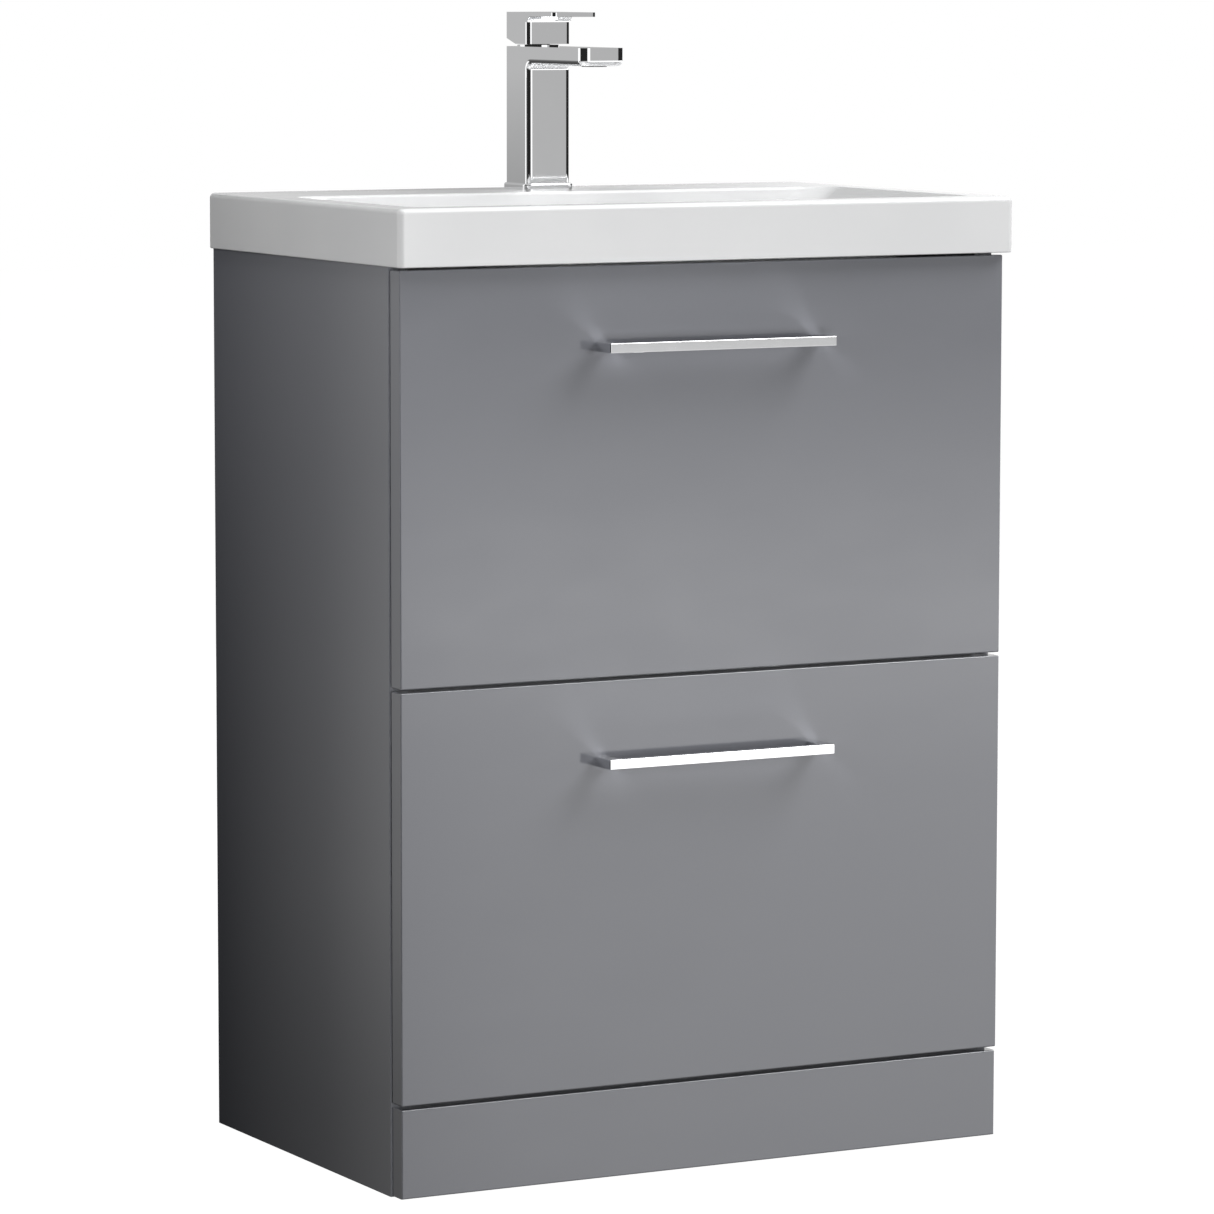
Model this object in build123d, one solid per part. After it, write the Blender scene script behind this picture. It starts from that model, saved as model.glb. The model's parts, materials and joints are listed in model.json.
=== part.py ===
from build123d import *
import math
import os

# Floor-standing bathroom vanity unit with two drawers, a one-piece basin and a single-lever mixer.
# Millimetres, +Z up, +X to the right seen from the front, +Y towards the wall.
# The origin is on the floor, under the middle of the whole unit's box.
# Depths called "f" are measured back from the face of the drawer fronts.

# ---------------------------------------------------------------- driving dimensions
HANDLE_OUT = 28.0        # handle projection in front of the drawer fronts
BASIN_W = 610.0
BASIN_D = 395.0
BASIN_OVER = 10.5        # basin front ahead of the drawer fronts
RIM_TOP = 854.0
RIM_H = 50.0
CAB_TOP = RIM_TOP - RIM_H
F0 = -(BASIN_D - BASIN_OVER - HANDLE_OUT) / 2.0   # row Y of the drawer-front face

CAB_W = 602.0            # over the side panels
BOARD = 18.0
PANEL_F = 20.0           # front edge of the side panels
CAB_BACK = 383.0         # back edge of the side panels
XO = CAB_W / 2.0
XI = XO - BOARD

FRONT_W = 600.0
FRONT_H = 358.0
FRONT_T = 18.0
UP_Z = 443.5             # bottom of the upper front
LO_Z = 82.5              # bottom of the lower front
PLINTH_TOP = 79.0

HANDLE_L = 225.0
HANDLE_H = 8.5
HANDLE_BAR = 7.0         # bar thickness, front to back
HANDLE_LEG = 12.0
HANDLE_DOWN = 70.0       # handle centre below the top of its front

BOX_X = 270.0            # outer face of the drawer sides
BOX_T = 15.0
BOX_BACK = 330.0
UP_BOX = (466.0, 630.0)  # bottom and top of the upper drawer's sides
LO_BOX = (108.0, 326.0)
BASE_T = 8.0
CUT_X = 90.0             # half width of the plumbing cut-out
CUT_F = 105.0            # where the cut-out starts

RUN_L = 300.0            # runner length
RUN_F = 24.0
RUN_H = 45.0
RUN_T = 1.2              # sheet thickness of the runner members
UP_RUN = 540.0           # runner centre heights
LO_RUN = 190.0

BOWL_X = 278.0           # bowl half width at the rim
BOWL_F = (16.0, 267.0)   # bowl front and back at the rim
BOWL_DEPTH = 108.0
BOWL_BX = 100.0          # the same at the bottom
BOWL_BF = (55.0, 240.0)
SHELL = 11.0
WASTE_F = 160.0

TAP_F = 324.5            # tap axis
TAP_W = 44.4
TAP_D = 43.5
TAP_TOP = 984.7
SPOUT_TIP = 195.8
SPOUT_T = 16.2
LEVER_Z = (987.0, 1016.0)
LEVER_TIP = 252.2
LEVER_PLATE = 4.0
LIFT_F, LIFT_Z = 327.0, 987.5   # lever lift axis


def y(f):
    return f + F0


def bx(x0, x1, f0, f1, z0, z1):
    return Pos((x0 + x1) / 2, y((f0 + f1) / 2), (z0 + z1) / 2) * Box(x1 - x0, f1 - f0, z1 - z0)


def cz(x, f, r, z0, z1):
    return Pos(x, y(f), (z0 + z1) / 2) * Cylinder(r, z1 - z0)


def cy(x, z, r, f0, f1):
    return Pos(x, y((f0 + f1) / 2), z) * Rot(90, 0, 0) * Cylinder(r, f1 - f0)


def cx(f, z, r, x0, x1):
    return Pos((x0 + x1) / 2, y(f), z) * Rot(0, 90, 0) * Cylinder(r, x1 - x0)


def ring(x, f, r1, r0, z0, z1):
    return cz(x, f, r1, z0, z1) - cz(x, f, r0, z0 - 1, z1 + 1)


def near(edges, test):
    return [e for e in edges if test(e.center())]


def along(shape, axis):
    return shape.edges().filter_by(axis)


def mirror_x(shape):
    return mirror(shape, about=Plane.YZ)


def prism(points, x0, x1):
    # A side profile, given as (f, z) points, carried across from x0 to x1.
    face = make_face(Polyline(*[(x0, y(f), z) for f, z in points], close=True))
    return extrude(face, amount=x1 - x0, dir=(1, 0, 0))


def group(*shapes):
    return Compound([s for shape in shapes for s in shape.solids()])


parts = {}

# ---------------------------------------------------------------- fixings of the carcass
BASE_Z = (80.0, 98.0)
RAIL_F = (PANEL_F, PANEL_F + BOARD)
RAIL_FZ = (660.0, 720.0)
MID_F = (PANEL_F, PANEL_F + 60.0)
MID_Z = (433.0, 451.0)
BACK_F = (CAB_BACK - BOARD, CAB_BACK)
BACK_UZ = (704.0, 804.0)
BACK_LZ = (98.0, 198.0)

f_rail = sum(RAIL_F) / 2
f_back = sum(BACK_F) / 2
z_base = sum(BASE_Z) / 2
z_mid = sum(MID_Z) / 2
dowel_at = [(60.0, z_base), (200.0, z_base), (340.0, z_base),
            (f_rail, 674.0), (f_rail, 706.0),
            (34.0, z_mid), (66.0, z_mid),
            (f_back, 726.0), (f_back, 782.0),
            (f_back, 120.0), (f_back, 176.0)]
cam_at = [(130.0, z_base, "base"), (270.0, z_base, "base"),
          (f_rail, 690.0, "rail"), (50.0, z_mid, "mid"), (f_back, 754.0, "back"), (f_back, 148.0, "back")]
CAM_X = XI - 34.0


def fixing_holes(s):
    # Holes for the dowels and cam bolts at one end; s is -1 on the left and 1 on the right.
    cut = []
    for f, z in dowel_at:
        a, b = sorted((s * (XI - 18.5), s * (XI + 12.5)))
        cut.append(cx(f, z, 4.05, a, b))
    for f, z, kind in cam_at:
        a, b = sorted((s * (CAM_X + 3.0), s * (XI + 10.5)))
        cut.append(cx(f, z, 3.55, a, b))
    return cut


def cam_pocket(s, f, z, kind, r, deep, gap=0.0):
    if kind == "base":
        return cz(s * CAM_X, f, r, BASE_Z[0] - gap, BASE_Z[0] + deep)
    if kind == "mid":
        return cz(s * CAM_X, f, r, MID_Z[0] - gap, MID_Z[0] + deep)
    if kind == "rail":
        return cy(s * CAM_X, z, r, RAIL_F[1] - deep, RAIL_F[1] + gap)
    return cy(s * CAM_X, z, r, BACK_F[0] - gap, BACK_F[0] + deep)


# side panels: full height to the floor, with softened outer edges
for side, s in (("left", -1), ("right", 1)):
    a, b = sorted((s * XI, s * XO))
    panel = bx(a, b, PANEL_F, CAB_BACK, 0, CAB_TOP)
    panel = fillet(near(along(panel, Axis.Z), lambda c: abs(c.X) > XO - 1), 1.2)
    for h in fixing_holes(s):
        panel = panel - h
    parts["side_panel_" + side] = panel


def end_bored(board, zr, fr):
    for s in (-1, 1):
        for f, z in dowel_at:
            if zr[0] < z < zr[1] and fr[0] < f < fr[1]:
                a, b = sorted((s * (XI - 18.5), s * (XI + 1)))
                board = board - cx(f, z, 4.05, a, b)
        for f, z, kind in cam_at:
            if zr[0] < z < zr[1] and fr[0] < f < fr[1]:
                a, b = sorted((s * (CAM_X + 3.0), s * (XI + 1)))
                board = board - cx(f, z, 3.55, a, b)
                board = board - cam_pocket(s, f, z, kind, 7.6, 13.0, 1.0)
    return board


parts["base_panel"] = end_bored(bx(-XI, XI, PANEL_F, CAB_BACK, *BASE_Z), BASE_Z, (PANEL_F, CAB_BACK))
# two equal front rails: one on edge above the upper drawer box, one flat behind the gap between the fronts
parts["front_rails"] = group(end_bored(bx(-XI, XI, *RAIL_F, *RAIL_FZ), RAIL_FZ, RAIL_F),
                             end_bored(bx(-XI, XI, *MID_F, *MID_Z), MID_Z, MID_F))
upper_rail = end_bored(bx(-XI, XI, *BACK_F, *BACK_UZ), BACK_UZ, BACK_F)
WALL_X, WALL_Z, WALL_R = 200.0, 740.0, 3.0
for s in (-1, 1):
    upper_rail = upper_rail - cy(s * WALL_X, WALL_Z, WALL_R, BACK_F[0] - 1, BACK_F[1] + 1)
parts["back_rail_upper"] = upper_rail
parts["back_rail_lower"] = end_bored(bx(-XI, XI, *BACK_F, *BACK_LZ), BACK_LZ, BACK_F)

plinth = bx(-299.5, 299.5, 1.0, PANEL_F, 1.0, PLINTH_TOP)
plinth = fillet(near(plinth.edges(), lambda c: c.Y < y(1.01)), 1.2)
parts["plinth_board"] = plinth
blocks = []
for s in (-1, 1):
    a, b = sorted((s * (XI - 25.0), s * XI))
    block = bx(a, b, PANEL_F, PANEL_F + 25.0, 4.0, 76.0)
    block = chamfer(near(along(block, Axis.Z), lambda c: abs(c.X) < XI - 20 and c.Y > y(PANEL_F + 20)), 10.0)
    blocks.append(block)
parts["plinth_corner_blocks"] = group(*blocks)

dowels, cams = [], []
for s in (-1, 1):
    for f, z in dowel_at:
        a, b = sorted((s * (XI - 18.0), s * (XI + 12.0)))
        d = cx(f, z, 4.0, a, b)
        dowels.append(chamfer(d.edges().filter_by(GeomType.CIRCLE), 0.8))
    for f, z, kind in cam_at:
        disc = cam_pocket(s, f, z, kind, 7.5, 12.5)
        x0 = s * CAM_X
        if kind in ("base", "mid"):
            zu = BASE_Z[0] if kind == "base" else MID_Z[0]
            disc = disc - bx(x0 - 4, x0 + 4, f - 0.7, f + 0.7, zu - 1, zu + 2.5)
            disc = disc - bx(x0 - 0.7, x0 + 0.7, f - 4, f + 4, zu - 1, zu + 2.5)
        else:
            fa, fb = (RAIL_F[1] - 2.5, RAIL_F[1] + 1) if kind == "rail" else (BACK_F[0] - 1, BACK_F[0] + 2.5)
            disc = disc - bx(x0 - 4, x0 + 4, fa, fb, z - 0.7, z + 0.7)
            disc = disc - bx(x0 - 0.7, x0 + 0.7, fa, fb, z - 4, z + 4)
        a, b = sorted((s * (CAM_X + 8.0), s * (XI + 10.0)))
        cams += [disc, cx(f, z, 3.5, a, b)]
parts["carcass_dowels"] = group(*dowels)
parts["cam_fittings"] = group(*cams)

pads = []
for s in (-1, 1):
    for z in (112.0, 410.0, 474.0, 770.0):
        pad = cy(s * 292.0, z, 4.0, 18.4, PANEL_F)
        pads.append(fillet(near(pad.edges().filter_by(GeomType.CIRCLE), lambda c: c.Y < y(19)), 0.8))
parts["buffer_pads"] = group(*pads)


# ---------------------------------------------------------------- drawer runners
def channel(xw, xo, zc, half, f0):
    # A folded channel: web at xw, flanges running towards xo, half its outer height.
    t = RUN_T
    d = 1 if xo > xw else -1
    a, b = sorted((xw, xw + d * t))
    c = bx(a, b, f0, f0 + RUN_L, zc - half, zc + half)
    a, b = sorted((xw, xo))
    c = c + bx(a, b, f0, f0 + RUN_L, zc + half - t, zc + half)
    c = c + bx(a, b, f0, f0 + RUN_L, zc - half, zc - half + t)
    return c


def slotted(rail, xw, zc, f0, at):
    for df in at:
        a, b = xw - 3.0, xw + 3.0
        rail = rail - cx(f0 + df, zc, 2.4, a, b)
    return rail


def runner_set(zc):
    outer, middle, inner = [], [], []
    for s in (-1, 1):
        o = channel(s * XI, s * (XI - 11.8), zc, RUN_H / 2, RUN_F)
        outer.append(slotted(o, s * XI, zc, RUN_F, (25.0, 130.0, 275.0)))
        m = channel(s * (XI - 2.7), s * (XI - 11.4), zc, RUN_H / 2 - 1.6, RUN_F)
        middle.append(slotted(m, s * (XI - 2.7), zc, RUN_F, (60.0, 150.0, 240.0)))
        i = channel(s * (XI - 13.0), s * (XI - 5.4), zc, RUN_H / 2 - 3.2, RUN_F)
        inner.append(slotted(i, s * (XI - 13.0), zc, RUN_F, (40.0, 165.0, 260.0)))
    return group(*outer), group(*middle), group(*inner)


# ---------------------------------------------------------------- drawers
def handle(zc):
    x1 = HANDLE_L / 2
    solid = bx(-x1, x1, -HANDLE_OUT, 0, zc - HANDLE_H / 2, zc + HANDLE_H / 2)
    gap = bx(-x1 + HANDLE_LEG, x1 - HANDLE_LEG, -HANDLE_OUT + HANDLE_BAR, 5, zc - HANDLE_H, zc + HANDLE_H)
    gap = fillet(near(along(gap, Axis.Z), lambda c: c.Y < y(-10)), 8.0)
    solid = solid - gap
    solid = fillet(near(along(solid, Axis.Z), lambda c: c.Y < y(-HANDLE_OUT + 0.1)), 1.0)
    rim = near(solid.edges(), lambda c: c.Y < y(-HANDLE_OUT + 1.1) and abs(abs(c.Z - zc) - HANDLE_H / 2) < 0.01)
    solid = fillet(rim, 0.6)
    for s in (-1, 1):
        solid = solid - cy(s * (x1 - HANDLE_LEG / 2), zc, 2.0, -14.0, 1.0)
    return solid


def handle_screws(zc):
    out = []
    for s in (-1, 1):
        x = s * (HANDLE_L / 2 - HANDLE_LEG / 2)
        screw = cy(x, zc, 1.93, -12.0, FRONT_T + 0.2) + cy(x, zc, 4.0, FRONT_T, FRONT_T + 2.4)
        screw = screw - bx(x - 3.0, x + 3.0, FRONT_T + 1.4, FRONT_T + 3, zc - 0.5, zc + 0.5)
        screw = screw - bx(x - 0.5, x + 0.5, FRONT_T + 1.4, FRONT_T + 3, zc - 3.0, zc + 3.0)
        out.append(screw)
    return group(*out)


def front_screw_at(box):
    return [(s * 190.0, z) for s in (-1, 1) for z in (box[0] + 34.0, box[1] - 30.0)]


def drawer_front(z0, hz, box):
    front = bx(-FRONT_W / 2, FRONT_W / 2, 0, FRONT_T, z0, z0 + FRONT_H)
    front = fillet(near(along(front, Axis.Y), lambda c: True), 1.2)
    front = fillet(near(front.edges(), lambda c: c.Y < y(0.01)), 1.2)
    for s in (-1, 1):
        front = front - cy(s * (HANDLE_L / 2 - HANDLE_LEG / 2), hz, 2.2, -1, FRONT_T + 1)
    for x, z in front_screw_at(box):
        front = front - cy(x, z, 2.05, 5.0, FRONT_T + 1)
    return front


def inner_front(box):
    board = bx(-BOX_X + BOX_T, BOX_X - BOX_T, FRONT_T, FRONT_T + BOX_T, *box)
    for x, z in front_screw_at(box):
        board = board - cy(x, z, 2.05, FRONT_T - 1, FRONT_T + BOX_T + 1)
    return board


def front_screws(box):
    out = []
    b = FRONT_T + BOX_T
    for x, z in front_screw_at(box):
        screw = cy(x, z, 2.0, 6.0, b + 0.2) + cy(x, z, 4.0, b, b + 1.8)
        screw = screw - bx(x - 2.8, x + 2.8, b + 0.8, b + 3, z - 0.45, z + 0.45)
        screw = screw - bx(x - 0.45, x + 0.45, b + 0.8, b + 3, z - 2.8, z + 2.8)
        out.append(screw)
    return group(*out)


def box_side(s, box):
    a, b = sorted((s * (BOX_X - BOX_T), s * BOX_X))
    side = bx(a, b, FRONT_T, BOX_BACK, *box)
    side = fillet(near(along(side, Axis.Y), lambda c: c.Z > box[1] - 1), 1.5)
    g0, g1 = sorted((s * (BOX_X - BOX_T - 1), s * (BOX_X - BOX_T + 6.0)))
    zb = box[0] + 12.0
    return side - bx(g0, g1, FRONT_T + BOX_T - 0.1, BOX_BACK + 1, zb - 0.1, zb + BASE_T + 0.1)


def drawer(name, z0, box, run_z):
    hz = z0 + FRONT_H - HANDLE_DOWN
    parts[name + "_drawer_front"] = drawer_front(z0, hz, box)
    parts[name + "_handle"] = handle(hz)
    parts[name + "_handle_screws"] = handle_screws(hz)
    parts[name + "_drawer_side_left"] = box_side(-1, box)
    parts[name + "_drawer_side_right"] = box_side(1, box)
    parts[name + "_drawer_inner_front"] = inner_front(box)
    parts[name + "_front_screws"] = front_screws(box)
    outer, middle, inner = runner_set(run_z)
    parts[name + "_cabinet_rails"] = outer
    parts[name + "_middle_rails"] = middle
    parts[name + "_drawer_rails"] = inner


drawer("upper", UP_Z, UP_BOX, UP_RUN)
drawer("lower", LO_Z, LO_BOX, LO_RUN)

in_x = BOX_X - BOX_T
base_x = in_x + 5.7
in_f0, in_f1 = FRONT_T + BOX_T, BOX_BACK - BOX_T


def base_board(box):
    zb = box[0] + 12.0
    return bx(-base_x, base_x, in_f0, in_f1, zb, zb + BASE_T)


parts["lower_drawer_base"] = base_board(LO_BOX)
parts["lower_drawer_back"] = bx(-in_x, in_x, in_f1, BOX_BACK, *LO_BOX)

up_floor = UP_BOX[0] + 12.0 + BASE_T
u_base = base_board(UP_BOX)
u_cut = bx(-CUT_X, CUT_X, CUT_F, BOX_BACK + 5, UP_BOX[0], UP_BOX[1])
parts["upper_drawer_base"] = u_base - u_cut
backs = [bx(CUT_X + BOX_T, in_x, in_f1, BOX_BACK, *UP_BOX)]
backs.append(bx(-in_x, -CUT_X - BOX_T, in_f1, BOX_BACK, *UP_BOX))
parts["upper_drawer_back"] = group(*backs)
cheek = bx(CUT_X, CUT_X + BOX_T, CUT_F, BOX_BACK, up_floor, UP_BOX[1])
cheek_l = bx(-CUT_X - BOX_T, -CUT_X, CUT_F, BOX_BACK, up_floor, UP_BOX[1])
bridge = bx(-CUT_X - BOX_T, CUT_X + BOX_T, CUT_F - BOX_T, CUT_F, up_floor, UP_BOX[1])
parts["upper_drawer_cutout_boards"] = group(cheek, cheek_l, bridge)


# ---------------------------------------------------------------- basin
def bowl(x_top, f_top, z_top, x_bot, f_bot, z_bot, r_corner, r):
    # A four-sided funnel with one radius on its corners and another round its bottom.
    top = Pos(0, y(sum(f_top) / 2), z_top) * Rectangle(2 * x_top, f_top[1] - f_top[0])
    bot = Pos(0, y(sum(f_bot) / 2), z_bot) * Rectangle(2 * x_bot, f_bot[1] - f_bot[0])
    solid = loft([bot.face(), top.face()], ruled=True)
    solid = fillet(near(solid.edges(), lambda c: z_bot + 0.1 < c.Z < z_top - 0.1), r_corner)
    return fillet(near(solid.edges(), lambda c: c.Z < z_bot + 0.1), r)


floor_z = RIM_TOP - BOWL_DEPTH
under_z = floor_z - 12.0
run_x = (BOWL_X - BOWL_BX) / BOWL_DEPTH          # how fast each wall comes in with depth
run_a = (BOWL_BF[0] - BOWL_F[0]) / BOWL_DEPTH
run_b = (BOWL_F[1] - BOWL_BF[1]) / BOWL_DEPTH
off_x = SHELL * math.hypot(1, run_x)
off_a = SHELL * math.hypot(1, run_a)
off_b = SHELL * math.hypot(1, run_b)


def shell_at(z):
    d = RIM_TOP - z
    return (BOWL_X - d * run_x + off_x,
            (BOWL_F[0] + d * run_a - off_a, BOWL_F[1] - d * run_b + off_b))


BF = (-BASIN_OVER, BASIN_D - BASIN_OVER)
slab = bx(-BASIN_W / 2, BASIN_W / 2, BF[0], BF[1], CAB_TOP, RIM_TOP)
slab = fillet(along(slab, Axis.Z), 5.5)
slab = fillet(near(slab.edges(), lambda c: c.Z > RIM_TOP - 0.01), 4.5)
slab = fillet(near(slab.edges(), lambda c: c.Z < CAB_TOP + 0.01), 1.0)
under = bx(-BASIN_W / 2 + SHELL, BASIN_W / 2 - SHELL, BF[0] + SHELL, BF[1] - SHELL, CAB_TOP - 1, RIM_TOP - 13.0)
under = fillet(along(under, Axis.Z), 5.0)
xt, ft = shell_at(RIM_TOP - 9.0)
xb, fb = shell_at(under_z)
outer_bowl = bowl(xt, ft, RIM_TOP - 9.0, xb, fb, under_z, 32.0, 20.0)
lift = 4.0
cavity = bowl(BOWL_X + lift * run_x, (BOWL_F[0] - lift * run_a, BOWL_F[1] + lift * run_b), RIM_TOP + lift,
              BOWL_BX, BOWL_BF, floor_z, 21.0, 12.0)
basin = slab - under + outer_bowl - cavity
mouth = near(basin.edges(), lambda c: abs(c.Z - RIM_TOP) < 0.01 and abs(c.X) < BOWL_X + 3
             and BOWL_F[0] - 3 < c.Y - F0 < BOWL_F[1] + 3)
basin = fillet(mouth, 3.0)
basin = basin - cz(0, TAP_F, 17.0, RIM_TOP - 20, RIM_TOP + 5)
basin = basin - cz(0, WASTE_F, 22.5, under_z - 5, floor_z + 5)
OVER_Z = 812.0
over_f = BOWL_F[1] - (RIM_TOP - OVER_Z) * run_b
lean = math.degrees(math.atan(run_b))
over_at = Pos(0, y(over_f), OVER_Z) * Rot(-90 - lean, 0, 0)   # local +Z points into the wall
basin = basin - over_at * Pos(0, 0, 0) * Cylinder(11.0, 13.0)
parts["basin"] = basin

o_ring = over_at * Pos(0, 0, -0.9) * Cylinder(14.0, 1.8)
o_ring = fillet(near(o_ring.edges().filter_by(GeomType.CIRCLE), lambda c: c.Y < y(over_f) - 0.9), 0.9)
o_ring = o_ring + over_at * Pos(0, 0, 2.5) * Cylinder(10.9, 5.0)
o_ring = o_ring - over_at * Pos(0, 0, 0.5) * Cylinder(8.5, 8.0)
parts["overflow_ring"] = o_ring

# ---------------------------------------------------------------- waste and trap, all on one upright axis
WF = WASTE_F
body = cz(0, WF, 33.0, floor_z, floor_z + 3.0)
body = fillet(near(body.edges().filter_by(GeomType.CIRCLE), lambda c: c.Z > floor_z + 2), 1.5)
body = body + cz(0, WF, 20.9, 680.0, floor_z + 0.5)
body = body - cz(0, WF, 16.5, 670.0, floor_z + 10)
for a in (0, 90):
    body = body + (Pos(0, y(WF), 709.0) * Rot(0, 0, a) * Box(34.0, 4.0, 6.0) & cz(0, WF, 18.0, 700.0, 720.0))
body = body + cz(0, WF, 7.0, 706.0, 712.0)
body = body - cz(0, WF, 4.05, 700.0, 720.0)
parts["waste_body"] = body
seal = ring(0, WF, 32.0, 21.1, under_z - 3.0, under_z)
parts["waste_seal"] = fillet(near(seal.edges().filter_by(GeomType.CIRCLE), lambda c: True), 0.6)
nut = extrude(Pos(0, y(WF), under_z - 13.0) * RegularPolygon(31.0, 6), amount=10.0) - cz(0, WF, 20.98, 700, 740)
parts["waste_back_nut"] = nut
cap_z = floor_z + 3.4
plug = cz(0, WF, 31.0, cap_z, cap_z + 5.5)
plug = fillet(near(plug.edges().filter_by(GeomType.CIRCLE), lambda c: c.Z > cap_z + 5), 4.0)
plug = plug + cz(0, WF, 4.0, 698.0, cap_z + 1)
parts["waste_plug"] = plug

inlet_nut = ring(0, WF, 27.0, 20.98, 677.0, 697.0) + ring(0, WF, 27.0, 19.3, 671.0, 677.2)
for k in range(12):
    a = math.radians(30 * k)
    inlet_nut = inlet_nut - cz(28.2 * math.cos(a), WF + 28.2 * math.sin(a), 3.0, 670.0, 693.0)
parts["trap_inlet_nut"] = inlet_nut
PIPE_Z = 642.0
trap = cz(0, WF, 28.0, 606.0, 664.0)
trap = fillet(near(trap.edges().filter_by(GeomType.CIRCLE), lambda c: c.Z > 663), 5.0)
trap = trap + cz(0, WF, 19.0, 655.0, 679.5) + cz(0, WF, 20.6, 677.3, 679.5)
trap = trap + cy(0, PIPE_Z, 18.0, WF, WF + 50.0)
trap = trap - cz(0, WF, 25.0, 600.0, 659.0)
trap = trap + cz(0, WF, 16.5, 588.0, 662.0)
trap = trap - cz(0, WF, 14.0, 570.0, 690.0)
trap = trap - cy(0, PIPE_Z, 15.0, WF + 20.0, WF + 60.0)
parts["trap_body"] = trap
bottle = cz(0, WF, 31.5, 564.0, 620.0)
bottle = fillet(near(bottle.edges().filter_by(GeomType.CIRCLE), lambda c: c.Z < 565), 9.0)
bottle = bottle - cz(0, WF, 28.1, 604.0, 640.0)
bottle = bottle - fillet(near(cz(0, WF, 26.0, 568.0, 610.0).edges().filter_by(GeomType.CIRCLE),
                              lambda c: c.Z < 569), 6.0)
for k in range(12):
    a = math.radians(30 * k)
    bottle = bottle - cz(32.6 * math.cos(a), WF + 32.6 * math.sin(a), 2.4, 580.0, 640.0)
parts["trap_bottle"] = bottle
f1 = WF + 50.0
outlet_nut = cy(0, PIPE_Z, 24.0, f1 - 12, f1 + 8) - cy(0, PIPE_Z, 18.08, f1 - 13, f1 + 1) - cy(0, PIPE_Z, 16.2, f1, f1 + 9)
for k in range(12):
    a = math.radians(30 * k)
    outlet_nut = outlet_nut - cy(25.0 * math.cos(a), PIPE_Z + 25.0 * math.sin(a), 2.6, f1 - 13, f1 + 4)
parts["trap_outlet_nut"] = outlet_nut
# the outlet pipe has a stop bead, and ends in a plain spigot for the drain socket
pipe = cy(0, PIPE_Z, 16.0, f1 + 1.2, CAB_BACK) + cy(0, PIPE_Z, 17.6, CAB_BACK - 46.0, CAB_BACK - 42.0)
parts["trap_outlet_pipe"] = pipe - cy(0, PIPE_Z, 14.2, f1, CAB_BACK + 1)

# ---------------------------------------------------------------- mixer tap
tx = TAP_W / 2
ta, tb = TAP_F - TAP_D / 2, TAP_F + TAP_D / 2
sz = TAP_TOP - SPOUT_T
BASE_TOP = 860.0
CONCAVE = 5.0


def l_profile(tip, f_front, f_back, z_bot, z_under, z_top, r, x):
    c = (f_front - r, z_under - r)
    m = (c[0] + r * math.sqrt(0.5), c[1] + r * math.sqrt(0.5))
    p = [(f_back, z_bot), (f_back, z_top), (tip, z_top), (tip, z_under), (f_front - r, z_under)]
    q = [(f_front, z_under - r), (f_front, z_bot), (f_back, z_bot)]
    at = lambda v: (-x, y(v[0]), v[1])
    wire = [Line(at(p[i]), at(p[i + 1])) for i in range(4)]
    wire.append(ThreePointArc(at(p[4]), at(m), at(q[0])))
    wire += [Line(at(q[0]), at(q[1])), Line(at(q[1]), at(q[2]))]
    return extrude(make_face(wire), amount=2 * x, dir=(1, 0, 0))


tap = l_profile(SPOUT_TIP, ta, tb, BASE_TOP, sz, TAP_TOP, CONCAVE, tx)
tap = fillet(near(along(tap, Axis.Z), lambda c: c.Y < y(SPOUT_TIP + 1)), 8.0)
lower = near(along(tap, Axis.Z), lambda c: y(ta - 1) < c.Y < y(ta + 1))
lower += near(along(tap, Axis.Y), lambda c: abs(c.Z - sz) < 0.01)
lower += near(tap.edges().filter_by(GeomType.CIRCLE), lambda c: c.Z < sz + 0.01)
lower += near(along(tap, Axis.X), lambda c: abs(c.Z - sz) < 0.01 and c.Y < y(SPOUT_TIP + 1))
tap = fillet(lower, 4.8)
tap = fillet(near(along(tap, Axis.Z), lambda c: c.Y > y(tb - 1)), 2.0)
tap = tap - cz(0, TAP_F, 17.5, 938.0, TAP_TOP + 1)
PORT_X, PORT_F = 8.0, TAP_F - 4.0
for s in (-1, 1):
    tap = tap - cz(s * PORT_X, PORT_F, 4.5, BASE_TOP - 1, BASE_TOP + 16.0)
    tap = tap - cz(s * (PORT_X - 2.4), PORT_F, 1.9, BASE_TOP + 15.5, 940.0)   # water way, off the port's own axis
STUD_F = TAP_F + 9.0
tap = tap - cz(0, STUD_F, 3.05, BASE_TOP - 1, BASE_TOP + 14.0)
AER_F = SPOUT_TIP + 19.0
tap = tap - cy(0, 977.5, 4.5, AER_F - 4, TAP_F)
tap = tap - cz(0, AER_F, 11.5, sz - 1, sz + 6.5) - cz(0, AER_F, 4.5, sz, 977.5)
parts["tap_body"] = tap

FL = 3.0
foot = bx(-tx - FL, tx + FL, ta - FL, tb + FL, RIM_TOP, BASE_TOP)
foot = fillet(along(foot, Axis.Z), 7.0)
foot = fillet(near(foot.edges(), lambda c: c.Z > BASE_TOP - 0.01), 1.6)
parts["tap_base_ring"] = foot - cz(0, TAP_F, 16.5, RIM_TOP - 1, BASE_TOP + 1)

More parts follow.
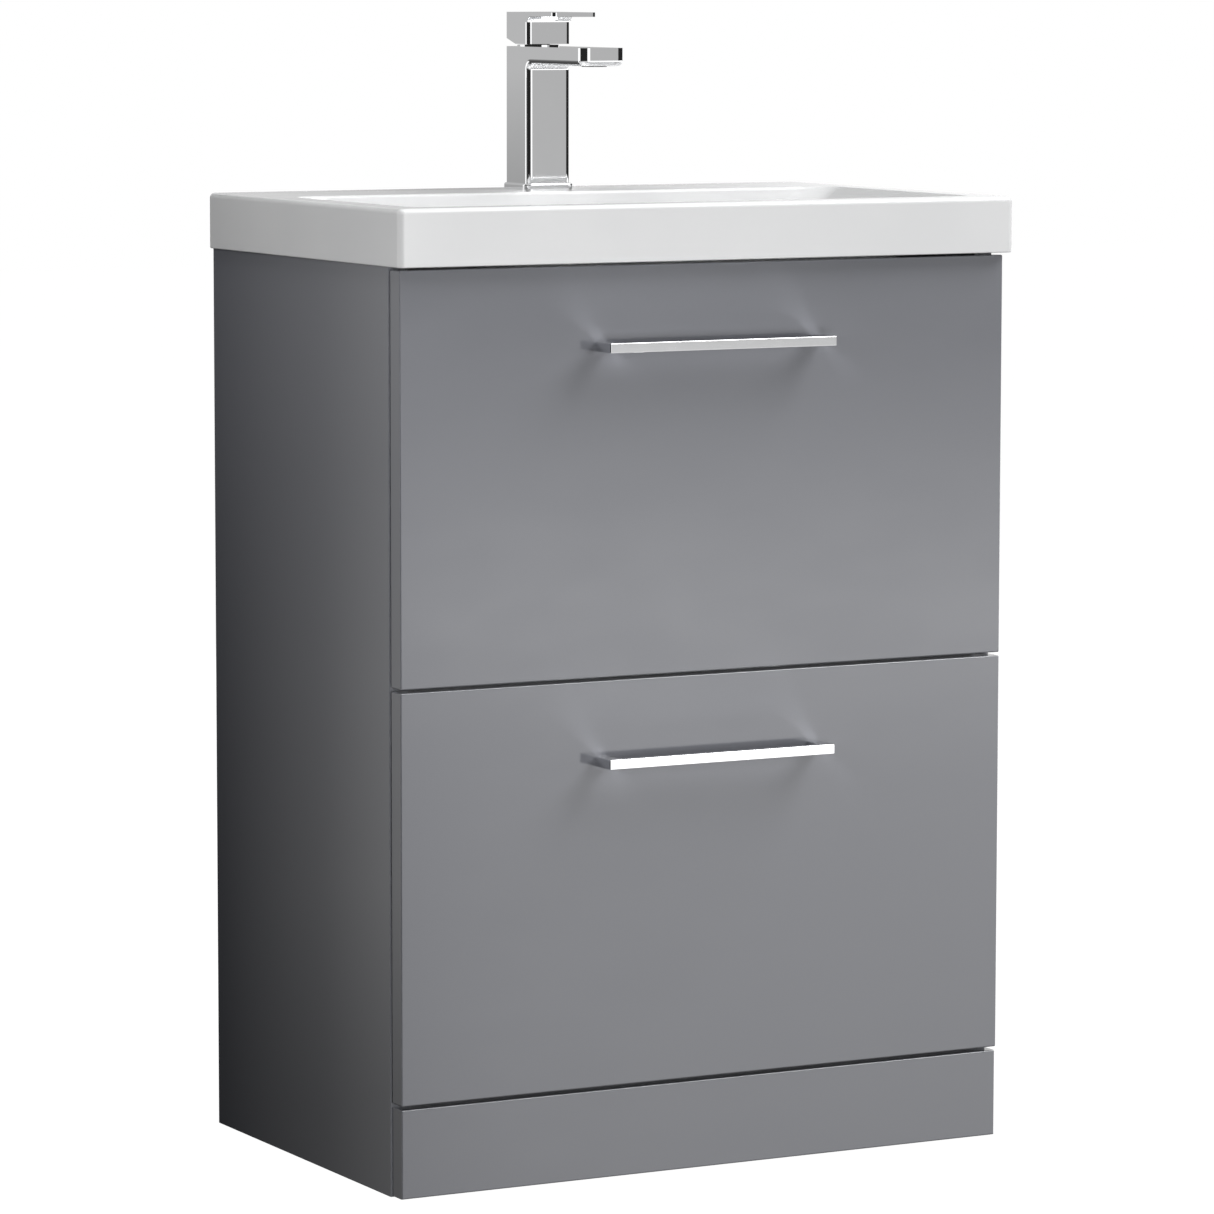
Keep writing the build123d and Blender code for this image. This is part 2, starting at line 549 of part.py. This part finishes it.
collar = ring(0, TAP_F, 19.25, 12.5, TAP_TOP, TAP_TOP + 1.5) + ring(0, TAP_F, 17.4, 12.5, 974.2, TAP_TOP + 0.1)
parts["tap_collar"] = collar
cartridge = cz(0, TAP_F, 17.3, 938.5, 974.0) - cz(0, TAP_F, 10.55, 962.0, 980.0)
cartridge = cartridge - ring(0, TAP_F, 18.0, 16.2, 944.0, 946.5)
parts["tap_cartridge"] = cartridge
carrier = cz(0, TAP_F, 10.5, 962.3, 991.5)
carrier = carrier - bx(-3.15, 3.15, TAP_F - 12, TAP_F + 12, 975.0, 993.0)
carrier = carrier - cx(LIFT_F, LIFT_Z, 1.52, -12, 12)
parts["tap_swivel_carrier"] = carrier
parts["tap_pivot_pin"] = cx(LIFT_F, LIFT_Z, 1.5, -9.8, 9.8)
stem = bx(-3.0, 3.0, LIFT_F - 4, LIFT_F + 4, 978.0, 1006.0)
stem = stem - cx(LIFT_F, LIFT_Z, 1.55, -5, 5)
parts["tap_stem"] = stem

lz0, lz1 = LEVER_Z
lever = l_profile(LEVER_TIP, ta, tb, lz0, lz1 - LEVER_PLATE, lz1, CONCAVE, tx)
lever = fillet(near(along(lever, Axis.Z), lambda c: c.Y < y(LEVER_TIP + 1)), 3.75)
round_cut = bx(tx - 4.2, tx + 1, ta - 1, ta + 4.2, lz0 - 1, lz1 - LEVER_PLATE - CONCAVE)
round_cut = round_cut - cz(tx - 4.2, ta + 4.2, 4.2, lz0 - 2, lz1)
lever = lever - round_cut - mirror_x(round_cut)
lever = fillet(near(along(lever, Axis.Z), lambda c: c.Y > y(tb - 1)), 2.0)
lever = lever - prism([(tb - 19.0, lz0 - 0.01), (tb + 1.0, lz0 + 5.79), (tb + 1.0, lz0 - 3.0), (tb - 19.0, lz0 - 3.0)], -tx - 1, tx + 1)
lever = lever - cz(0, TAP_F, 14.5, lz0 - 1, 997.0)
lever = lever - bx(-3.05, 3.05, LIFT_F - 4.05, LIFT_F + 4.05, 990.0, 1006.3)
lever = lever - cy(0, 1002.0, 2.5, LIFT_F, tb + 1)
parts["tap_lever"] = lever
grub = cy(0, 1002.0, 2.42, LIFT_F + 4.1, tb - 4.0)
grub = grub - Pos(0, y(tb - 5.5), 1002.0) * Rot(90, 0, 0) * extrude(RegularPolygon(1.4, 6), amount=2.0, both=True)
parts["tap_grub_screw"] = grub

aer = cz(0, AER_F, 11.3, sz - 0.8, sz + 6.0) - cz(0, AER_F, 9.2, sz - 2, sz + 1.2)
for k in range(7):
    a = math.radians(60 * k)
    r = 0.0 if k == 6 else 5.6
    aer = aer - cz(r * math.cos(a), AER_F + r * math.sin(a), 1.9, sz - 2, sz + 8)
parts["tap_aerator"] = aer

DECK_U = RIM_TOP - 13.0
parts["tap_fixing_stud"] = cz(0, STUD_F, 3.0, 806.0, BASE_TOP + 13.5)
shoe = cz(0, TAP_F, 24.0, DECK_U - 3.0, DECK_U) - bx(-13.5, 13.5, TAP_F - 30, TAP_F + 3.0, DECK_U - 4, DECK_U + 1)
shoe = shoe - cz(0, STUD_F, 3.1, DECK_U - 5, DECK_U + 1)
parts["tap_fixing_washer"] = shoe
fix_nut = extrude(Pos(0, y(STUD_F), DECK_U - 15.0) * RegularPolygon(6.4, 6), amount=12.0) - cz(0, STUD_F, 3.04, 800, 850)
parts["tap_fixing_nut"] = fix_nut

# ---------------------------------------------------------------- write
os.makedirs("parts", exist_ok=True)
for name, shape in parts.items():
    export_step(shape, "parts/" + name + ".step")
print(len(parts), "nodes")
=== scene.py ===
"""Looks of a floor-standing bathroom vanity unit: finishes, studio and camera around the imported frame."""

import json
import math

import bpy
from mathutils import Matrix, Vector

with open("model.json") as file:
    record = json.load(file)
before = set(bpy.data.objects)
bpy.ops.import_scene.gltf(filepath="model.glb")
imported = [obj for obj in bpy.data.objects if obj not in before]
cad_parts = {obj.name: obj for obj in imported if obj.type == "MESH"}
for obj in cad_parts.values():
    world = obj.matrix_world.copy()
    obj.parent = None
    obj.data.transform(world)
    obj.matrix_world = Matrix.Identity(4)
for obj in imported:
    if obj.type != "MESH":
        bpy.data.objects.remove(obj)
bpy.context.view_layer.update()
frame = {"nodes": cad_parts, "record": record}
nodes = frame["nodes"]
scene = bpy.context.scene


# ---------------------------------------------------------------- shader building blocks
class Graph:
    """A small helper around one node tree. Sockets are passed about as plain values or links."""

    def __init__(self, tree):
        self.tree = tree
        tree.nodes.clear()

    def node(self, kind, **props):
        n = self.tree.nodes.new(kind)
        for k, v in props.items():
            setattr(n, k, v)
        return n

    def put(self, socket, value):
        if isinstance(value, bpy.types.NodeSocket):
            self.tree.links.new(value, socket)
        else:
            socket.default_value = value

    def math(self, op, a, b=0.0, c=0.0, clamp=False):
        n = self.node("ShaderNodeMath", operation=op, use_clamp=clamp)
        for i, v in enumerate((a, b, c)):
            if i < len(n.inputs):
                self.put(n.inputs[i], v)
        return n.outputs[0]

    def span(self, value, a, b, lo=0.0, hi=1.0, smooth=True):
        n = self.node("ShaderNodeMapRange", interpolation_type="SMOOTHSTEP" if smooth else "LINEAR", clamp=True)
        for i, v in enumerate((value, a, b, lo, hi)):
            self.put(n.inputs[i], v)
        return n.outputs[0]

    def where(self, stretch=(1.0, 1.0, 1.0)):
        # the piece's own coordinates, in metres, so that the pattern rides with the piece
        coord = self.node("ShaderNodeTexCoord").outputs["Object"]
        if stretch == (1.0, 1.0, 1.0):
            return coord
        n = self.node("ShaderNodeVectorMath", operation="MULTIPLY")
        self.put(n.inputs[0], coord)
        n.inputs[1].default_value = stretch
        return n.outputs[0]

    def noise(self, scale, detail=2.0, rough=0.5, stretch=(1.0, 1.0, 1.0), distort=0.0):
        n = self.node("ShaderNodeTexNoise")
        self.put(n.inputs["Vector"], self.where(stretch))
        n.inputs["Scale"].default_value = scale
        n.inputs["Detail"].default_value = detail
        n.inputs["Roughness"].default_value = rough
        n.inputs["Distortion"].default_value = distort
        return n.outputs["Fac"]

    def cells(self, scale, feature="F1", stretch=(1.0, 1.0, 1.0), out="Distance"):
        n = self.node("ShaderNodeTexVoronoi", feature=feature)
        self.put(n.inputs["Vector"], self.where(stretch))
        n.inputs["Scale"].default_value = scale
        return n.outputs[out]

    def blend(self, factor, a, b):
        n = self.node("ShaderNodeMix", data_type="RGBA")
        self.put(n.inputs[0], factor)
        self.put(n.inputs[6], a if isinstance(a, bpy.types.NodeSocket) else (*a, 1.0))
        self.put(n.inputs[7], b if isinstance(b, bpy.types.NodeSocket) else (*b, 1.0))
        return n.outputs[2]

    def bump(self, height, strength, distance, normal=None):
        n = self.node("ShaderNodeBump")
        n.inputs["Strength"].default_value = strength
        n.inputs["Distance"].default_value = distance
        self.put(n.inputs["Height"], height)
        if normal is not None:
            self.put(n.inputs["Normal"], normal)
        return n.outputs["Normal"]


def surface(name, **sockets):
    """A new material with a Principled shader. Returns it, its graph and the shader."""
    m = bpy.data.materials.new(name)
    m.use_nodes = True
    g = Graph(m.node_tree)
    out = g.node("ShaderNodeOutputMaterial")
    p = g.node("ShaderNodeBsdfPrincipled")
    g.tree.links.new(p.outputs[0], out.inputs["Surface"])
    for k, v in sockets.items():
        p.inputs[k.replace("_", " ")].default_value = v
    return m, g, p


def tint(c, k):
    return tuple(min(1.0, x * k) for x in c)


# ---------------------------------------------------------------- finishes
def grey_gloss():
    # sprayed gloss lacquer: even colour, a faint orange peel, soft polish marks in the gloss
    base = (0.199, 0.2045, 0.2264)
    m, g, p = surface("grey_gloss_lacquer", IOR=1.55, Coat_Weight=0.45, Coat_Roughness=0.03)
    broad = g.noise(2.6, 2.0)
    fine = g.noise(1500.0, 2.0)
    tone = g.blend(g.span(broad, 0.3, 0.7), tint(base, 0.985), tint(base, 1.015))
    g.put(p.inputs["Base Color"], g.blend(g.span(fine, 0.35, 0.65, 0.0, 0.35), tone, tint(base, 1.04)))
    wiped = g.noise(16.0, 3.0, 0.55, stretch=(0.6, 1.0, 1.5))
    g.put(p.inputs["Roughness"], g.span(wiped, 0.25, 0.75, 0.10, 0.14))
    peel = g.noise(190.0, 1.0, 0.4)
    g.put(p.inputs["Normal"], g.bump(peel, 0.04, 0.0003))
    return m


def melamine(name, base, grain, speck, rough):
    # printed board face with a fine pressed texture
    m, g, p = surface(name, IOR=1.5)
    cloud = g.noise(7.0, 3.0)
    fleck = g.noise(620.0, 3.0, 0.65, stretch=grain)
    tone = g.blend(g.span(cloud, 0.3, 0.7), tint(base, 1.0 - speck * 0.5), tint(base, 1.0 + speck * 0.5))
    g.put(p.inputs["Base Color"], g.blend(g.span(fleck, 0.38, 0.66, 0.0, 0.6), tone, tint(base, 1.0 - speck * 2.0)))
    g.put(p.inputs["Roughness"], g.span(fleck, 0.3, 0.7, rough - 0.05, rough + 0.06))
    pores = g.cells(900.0, stretch=grain)
    low = g.bump(g.noise(420.0, 2.0, 0.6, stretch=grain), 0.12, 0.0002)
    g.put(p.inputs["Normal"], g.bump(pores, 0.10, 0.00012, low))
    return m


def chrome():
    # bright nickel-chrome plate with hair-fine polishing marks
    m, g, p = surface("chrome_plate", Metallic=1.0)
    drift = g.noise(38.0, 2.0)
    g.put(p.inputs["Base Color"], g.blend(drift, (0.900, 0.905, 0.915), (0.935, 0.938, 0.944)))
    hair = g.noise(700.0, 2.0, 0.6, stretch=(0.12, 1.0, 1.0))
    wipe = g.noise(60.0, 3.0, 0.6)
    g.put(p.inputs["Roughness"], g.math("ADD", g.span(hair, 0.4, 0.75, 0.022, 0.036), g.span(wipe, 0.45, 0.75, 0.0, 0.014)))
    g.put(p.inputs["Normal"], g.bump(hair, 0.004, 0.00002))
    return m


def ceramic():
    # white vitreous glaze, pooled a little unevenly
    m, g, p = surface("white_glaze", IOR=1.5, Coat_Weight=0.25, Coat_Roughness=0.03)
    pool = g.noise(9.0, 2.0)
    dust = g.noise(1100.0, 2.0)
    tone = g.blend(g.span(pool, 0.3, 0.7), (0.855, 0.860, 0.866), (0.878, 0.882, 0.886))
    g.put(p.inputs["Base Color"], g.blend(g.span(dust, 0.5, 0.75, 0.0, 0.2), tone, (0.83, 0.835, 0.84)))
    g.put(p.inputs["Roughness"], g.span(pool, 0.25, 0.75, 0.13, 0.17))
    g.put(p.inputs["Normal"], g.bump(g.noise(26.0, 1.0, 0.4), 0.05, 0.0012))
    return m


def zinc():
    # bright zinc plate on pressed steel: faint spangle, rolling streaks, blue-grey passivation
    m, g, p = surface("zinc_plated_steel", Metallic=1.0)
    flake = g.cells(260.0, out="Color")
    bw = g.node("ShaderNodeRGBToBW")
    g.put(bw.inputs[0], flake)
    spangle = bw.outputs[0]
    streak = g.noise(240.0, 3.0, 0.6, stretch=(1.0, 0.06, 1.0))
    tone = g.blend(g.span(spangle, 0.2, 0.8), (0.60, 0.62, 0.645), (0.69, 0.705, 0.72))
    g.put(p.inputs["Base Color"], g.blend(g.span(streak, 0.4, 0.7, 0.0, 0.45), tone, (0.56, 0.585, 0.62)))
    g.put(p.inputs["Roughness"], g.math("ADD", g.span(streak, 0.3, 0.7, 0.24, 0.36), g.span(spangle, 0.0, 1.0, -0.03, 0.03)))
    g.put(p.inputs["Normal"], g.bump(streak, 0.06, 0.00006))
    return m


def brass():
    # turned and tumbled brass with slight tarnish in the low spots
    m, g, p = surface("machined_brass", Metallic=1.0)
    cloud = g.noise(70.0, 3.0, 0.6)
    turn = g.noise(900.0, 2.0, 0.5, stretch=(0.15, 0.15, 1.0))
    tone = g.blend(g.span(cloud, 0.3, 0.7), (0.70, 0.515, 0.235), (0.79, 0.615, 0.325))
    g.put(p.inputs["Base Color"], g.blend(g.span(turn, 0.5, 0.75, 0.0, 0.4), tone, (0.55, 0.39, 0.17)))
    g.put(p.inputs["Roughness"], g.span(turn, 0.3, 0.7, 0.22, 0.36))
    g.put(p.inputs["Normal"], g.bump(turn, 0.10, 0.00008))
    return m


def moulded(name, base, rough, sheen_low):
    # injection-moulded plastic: fine spark texture and flow marks
    m, g, p = surface(name, IOR=1.49)
    flow = g.noise(30.0, 3.0, 0.55, stretch=(1.0, 1.0, 0.4))
    spark = g.noise(1700.0, 2.0, 0.6)
    tone = g.blend(g.span(flow, 0.3, 0.7), tint(base, 0.965), tint(base, 1.02))
    g.put(p.inputs["Base Color"], g.blend(g.span(spark, 0.45, 0.75, 0.0, 0.4), tone, tint(base, 0.93)))
    g.put(p.inputs["Roughness"], g.span(flow, 0.25, 0.75, rough - sheen_low, rough + 0.05))
    g.put(p.inputs["Normal"], g.bump(spark, 0.10, 0.00008))
    return m


def rubber(name, base, rough, clear):
    # soft rubber with a dusty bloom; the clear grade lets light through
    m, g, p = surface(name, IOR=1.45, Transmission_Weight=clear)
    bloom = g.noise(120.0, 4.0, 0.65)
    tone = g.blend(g.span(bloom, 0.4, 0.8), base, tuple(min(1.0, x * 1.15 + 0.012) for x in base))
    g.put(p.inputs["Base Color"], tone)
    g.put(p.inputs["Roughness"], g.span(bloom, 0.3, 0.75, rough - 0.08, rough + 0.08))
    g.put(p.inputs["Normal"], g.bump(g.noise(2200.0, 2.0), 0.12, 0.00006))
    return m


def beech():
    # pale pinkish beech with short dark rays along the dowel
    m, g, p = surface("plain_beech", IOR=1.48)
    grain = g.noise(260.0, 4.0, 0.6, stretch=(0.08, 1.0, 1.0), distort=0.6)
    ray = g.cells(520.0, stretch=(0.12, 1.0, 1.0))
    tone = g.blend(g.span(grain, 0.3, 0.7), (0.52, 0.335, 0.19), (0.66, 0.46, 0.29))
    g.put(p.inputs["Base Color"], g.blend(g.span(ray, 0.0, 0.18, 0.55, 0.0), tone, (0.36, 0.20, 0.10)))
    g.put(p.inputs["Roughness"], g.span(grain, 0.3, 0.7, 0.52, 0.68))
    g.put(p.inputs["Normal"], g.bump(grain, 0.25, 0.0002))
    return m


finish_of = {
    "grey_gloss_board": grey_gloss(),
    "carcass_board": melamine("grey_melamine", (0.20, 0.204, 0.212), (1.0, 1.0, 0.35), 0.05, 0.46),
    "drawer_board": melamine("light_grey_melamine", (0.56, 0.562, 0.556), (1.0, 0.3, 1.0), 0.035, 0.42),
    "beech_dowel": beech(),
    "zinc_steel": zinc(),
    "clear_rubber": rubber("clear_soft_rubber", (0.72, 0.74, 0.76), 0.34, 0.75),
    "black_rubber": rubber("black_rubber", (0.018, 0.018, 0.019), 0.62, 0.0),
    "chrome_plate": chrome(),
    "white_ceramic": ceramic(),
    "white_plastic": moulded("white_moulded_plastic", (0.79, 0.79, 0.775), 0.34, 0.08),
    "yellow_brass": brass(),
    "cartridge_plastic": moulded("dark_moulded_plastic", (0.045, 0.046, 0.050), 0.46, 0.10),
}
for part in frame["record"]["subparts"]:
    obj = nodes[part["node"]]
    if not obj.material_slots:
        obj.data.materials.append(None)
    for s in obj.material_slots:
        s.material = finish_of[part["material_slot"]]

# ---------------------------------------------------------------- camera
cam_data = bpy.data.cameras.new("view")
cam_data.sensor_fit = "HORIZONTAL"
cam_data.sensor_width = 36.0
cam_data.lens = 169.36
cam_data.clip_end = 100.0
cam = bpy.data.objects.new("view", cam_data)
scene.collection.objects.link(cam)
right = Vector((0.88267661, -0.46997937, 0.00118091))
up = Vector((0.05128489, 0.09881613, 0.99378329))
back = -Vector((0.46717434, 0.87712871, -0.11132552))
at = Vector((-2.416298, -4.525686, 1.056754))
cam.matrix_world = Matrix(
    (
        (right.x, up.x, back.x, at.x),
        (right.y, up.y, back.y, at.y),
        (right.z, up.z, back.z, at.z),
        (0.0, 0.0, 0.0, 1.0),
    )
)
scene.camera = cam

# ---------------------------------------------------------------- floor
floor_size = 14.0
floor_mesh = bpy.data.meshes.new("studio_floor")
h = floor_size
floor_mesh.from_pydata([(-h, -h, -0.0004), (h, -h, -0.0004), (h, h, -0.0004), (-h, h, -0.0004)], [], [(0, 1, 2, 3)])
floor = bpy.data.objects.new("studio_floor", floor_mesh)
scene.collection.objects.link(floor)
pale, g, p = surface("pale_floor", Roughness=0.9, Specular_IOR_Level=0.0, Emission_Strength=1.0)
p.inputs["Emission Color"].default_value = (1.0, 1.0, 1.0, 1.0)
g.put(p.inputs["Base Color"], g.blend(g.noise(1.2, 2.0), (0.10, 0.10, 0.10), (0.12, 0.12, 0.12)))
floor_mesh.materials.append(pale)
# the floor is only there for the eye: it throws no light up at the unit
floor.visible_diffuse = False
floor.visible_glossy = False
floor.visible_transmission = False
floor.visible_shadow = False

# ---------------------------------------------------------------- studio
LIGHTS = {
    # name: (place, aimed at, width, height, watts, seen in reflections)
    "key": ((2.408, -1.488, 3.476), (0.0, -0.1, 0.6), 2.2, 2.2, 150.0, True),
    "front_fill": ((-0.6, -2.6, 0.35), (-0.05, -0.17, 0.4), 1.0, 0.6, 20.5, False),
    "front_top": ((0.5, -1.6, 0.8), (0.1, -0.17, 0.65), 0.7, 0.4, 3.6, False),
    "left_high": ((-0.7, 0.0, 2.4), (-0.1, 0.0, 0.8), 0.5, 0.5, 8.5, False),
    "left_front": ((-0.75, -0.45, 0.8), (-0.3, 0.0, 0.5), 0.35, 0.35, 0.85, False),
    "left_back": ((-0.75, 0.1, 1.0), (-0.3, 0.0, 0.6), 0.35, 0.35, 0.78, False),
    "right_fill": ((3.2, 0.8, 1.2), (0.3, 0.0, 0.5), 1.6, 1.6, 4.0, False),
    "back_fill": ((0.5, 3.6, 1.1), (0.0, 0.2, 0.45), 1.8, 1.4, 30.0, False),
}
for name, (place, aim, w, hgt, watts, mirrored) in LIGHTS.items():
    ld = bpy.data.lights.new(name, "AREA")
    ld.shape = "RECTANGLE"
    ld.size, ld.size_y = w, hgt
    ld.energy = watts
    lo = bpy.data.objects.new(name, ld)
    scene.collection.objects.link(lo)
    lo.location = place
    lo.rotation_euler = (Vector(aim) - Vector(place)).to_track_quat("-Z", "Y").to_euler()
    lo.visible_camera = False
    lo.visible_glossy = mirrored


def run_through(g, value, points):
    """A line drawn through (value, result) points, level beyond both ends."""
    total = points[0][1]
    for (a, va), (b, vb) in zip(points, points[1:]):
        total = g.math("ADD", total, g.span(value, a, b, 0.0, vb - va, smooth=False))
    return total


# a white glowing board stands behind the left end, seen only in reflections, with the unit's shade near the unit
# painted into its glow as a painted shadow: the side panel mirrors it
board_mesh = bpy.data.meshes.new("studio_board")
board_mesh.from_pydata(
    [(-1.0, 0.25, -0.2), (-0.303, 0.25, -0.2), (-0.303, 0.25, 0.95), (-1.0, 0.25, 0.95)], [], [(0, 1, 2, 3)]
)
board = bpy.data.objects.new("studio_board", board_mesh)
scene.collection.objects.link(board)
board.visible_camera = False
board.visible_diffuse = False
board.visible_transmission = False
board.visible_shadow = False
board_mat = bpy.data.materials.new("studio_board")
board_mat.use_nodes = True
board_mesh.materials.append(board_mat)
g = Graph(board_mat.node_tree)
glow = g.node("ShaderNodeEmission")
bout = g.node("ShaderNodeOutputMaterial")
g.put(bout.inputs["Surface"], glow.outputs[0])
bsep = g.node("ShaderNodeSeparateXYZ")
g.put(bsep.inputs[0], g.where())
# painted shadow of the unit: the glow fades to nothing towards the unit; painted shade by height along z
shade_x = run_through(g, bsep.outputs[0], [(-0.70, 1.35), (-0.52, 0.95), (-0.43, 0.36), (-0.325, 0.0)])
shade_z = run_through(
    g, bsep.outputs[2], [(-0.1, 0.36), (0.0, 0.37), (0.1, 0.47), (0.2, 0.59), (0.4, 0.63), (0.6, 0.54), (0.76, 0.60), (0.82, 0.45), (0.95, 0.32)]
)
g.put(glow.inputs["Strength"], g.math("MULTIPLY", shade_x, shade_z))

world = bpy.data.worlds.new("studio")
scene.world = world
world.use_nodes = True
g = Graph(world.node_tree)
sep = g.node("ShaderNodeSeparateXYZ")
g.put(sep.inputs[0], g.node("ShaderNodeTexCoord").outputs["Generated"])
wx, wy, wz = sep.outputs
# bearing: 0 towards the wall, 90 to the right, 180 to the front; counted from 60 so that its seam falls on the dark side
c60, s60 = math.cos(math.radians(60.0)), math.sin(math.radians(60.0))
bearing = g.math(
    "MULTIPLY_ADD",
    g.math(
        "ARCTAN2",
        g.math("SUBTRACT", g.math("MULTIPLY", wx, c60), g.math("MULTIPLY", wy, s60)),
        g.math("ADD", g.math("MULTIPLY", wy, c60), g.math("MULTIPLY", wx, s60)),
    ),
    180.0 / math.pi,
    60.0,
)
height = g.math("MULTIPLY", g.math("ARCSINE", wz), 180.0 / math.pi)


def sector(b0, b1, sb):
    return g.math("MULTIPLY", g.span(bearing, b0 - sb, b0 + sb), g.span(bearing, b1 - sb, b1 + sb, 1.0, 0.0))


# what the chrome, the glaze and the lacquer mirror: grey walls, white reflector boards, a lit floor to the front right
# and a dark side by the camera above a pale floor; each sector holds brightness by height in degrees
SECTORS = [
    # from bearing, to bearing, softness, [(height, brightness), ...]
    (-32.0, 27.5, 2.0, [(-18, 0.05), (-12, 0.10), (-8, 0.15), (-5, 0.20), (-3, 0.25), (-1, 0.48), (40, 0.46), (60, 0.0)]),
    (28.5, 62.0, 2.5, [(-42, 0.0), (-18, 0.9), (50, 0.9), (70, 0.0)]),
    (62.0, 144.0, 4.0, [(-40, 0.5), (-18, 1.0), (-14, 1.05), (-12, 1.6), (-8, 1.7), (-6.5, 2.7), (-5, 1.6), (-4.4, 0.9), (-2.8, 0.0)]),
    (
        144.0,
        154.5,
        1.5,
        [(-40, 0.5), (-18, 1.0), (-14, 1.05), (-12, 1.6), (-10, 1.65), (-8, 1.7), (-6.5, 2.7), (-5, 1.6), (-4.4, 0.95), (-3.75, 0.55), (-3, 0.48), (-1.5, 0.45), (4, 0.45), (8, 1.1), (45, 1.1), (70, 0.3)],
    ),
    (156.0, 189.0, 1.5, [(-33, 0.0), (-17, 1.15), (37, 1.15), (53, 0.0)]),
    (-72.0, -33.5, 1.5, [(-33, 0.0), (-17, 1.15), (37, 1.15), (53, 0.0)]),
    (-125.0, -74.0, 2.0, [(-17, 0.7), (-8.5, 0.0)]),
    (191.0, 245.0, 2.0, [(-17, 0.7), (-8.5, 0.0)]),
]
mirrored = 0.02
for b0, b1, sb, rise in SECTORS:
    mirrored = g.math("ADD", mirrored, g.math("MULTIPLY", sector(b0, b1, sb), run_through(g, height, rise)))
overhead = g.span(height, 35.0, 75.0, 0.0, 0.9)
mirrored = g.math("ADD", mirrored, overhead)

# what lights the surfaces softly: a faint overhead dome
dome = g.span(height, -10.0, 80.0, 0.0, 0.03)

path = g.node("ShaderNodeLightPath")
sky_soft = g.node("ShaderNodeBackground")
g.put(sky_soft.inputs["Strength"], dome)
sky_gloss = g.node("ShaderNodeBackground")
g.put(sky_gloss.inputs["Strength"], mirrored)
white = g.node("ShaderNodeBackground")
white.inputs["Strength"].default_value = 1.0
for b in (sky_soft, sky_gloss, white):
    b.inputs["Color"].default_value = (1.0, 1.0, 1.0, 1.0)
mix_a = g.node("ShaderNodeMixShader")
g.put(mix_a.inputs[0], path.outputs["Is Glossy Ray"])
g.put(mix_a.inputs[1], sky_soft.outputs[0])
g.put(mix_a.inputs[2], sky_gloss.outputs[0])
mix_b = g.node("ShaderNodeMixShader")
g.put(mix_b.inputs[0], path.outputs["Is Camera Ray"])
g.put(mix_b.inputs[1], mix_a.outputs[0])
g.put(mix_b.inputs[2], white.outputs[0])
wout = g.node("ShaderNodeOutputWorld")
g.put(wout.inputs["Surface"], mix_b.outputs[0])
world.cycles.sampling_method = "NONE"

# the chrome throws light back on the lacquer; it is kept sharp
scene.cycles.blur_glossy = 0.0
scene.view_settings.view_transform = "Standard"
scene.view_settings.look = "None"
